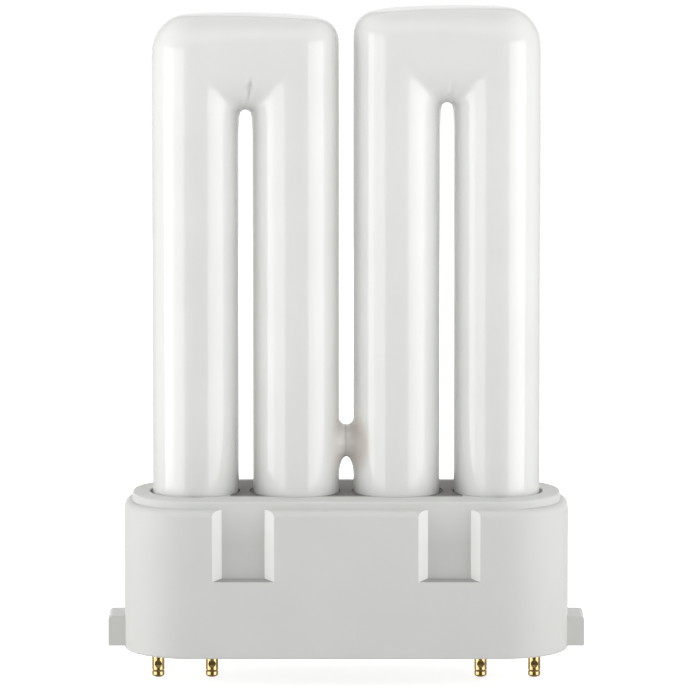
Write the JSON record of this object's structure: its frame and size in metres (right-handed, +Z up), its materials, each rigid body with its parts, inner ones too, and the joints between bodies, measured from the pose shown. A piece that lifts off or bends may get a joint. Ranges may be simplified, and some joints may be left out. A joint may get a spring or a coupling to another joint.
{
  "type": "compact fluorescent lamp",
  "caption": "Flat compact fluorescent lamp: white glass limbs in one row, joined by squared bends and a bridge, in a moulded cap with brass contact pins in line.",
  "frame": {"origin": "centre of the cap's underside, on the face that seats in the lampholder", "axes": "+X along the row of limbs, -Y the front, +Z up the limbs"},
  "size_m": [0.0882, 0.0296, 0.1254],
  "materials": {
    "coated_glass": "glossy clear glass over a matt white coat",
    "cap_plastic": "fine moulded texture",
    "plate_plastic": "fine moulded texture",
    "pin_brass": "drawn, bright",
    "wire_nickel": "drawn, dull",
    "capping_cement": "matt"
  },
  "bodies": {
    "root": {"discharge_tube": "coated_glass", "base_housing": "cap_plastic", "base_plate": "plate_plastic", "contact_pin_1": "pin_brass", "contact_pin_2": "pin_brass", "contact_pin_3": "pin_brass", "contact_pin_4": "pin_brass", "lead_wire_1": "wire_nickel", "lead_wire_2": "wire_nickel", "lead_wire_3": "wire_nickel", "lead_wire_4": "wire_nickel", "limb_cement_1": "capping_cement", "limb_cement_2": "capping_cement", "limb_cement_3": "capping_cement", "limb_cement_4": "capping_cement"}
  },
  "joints": []
}
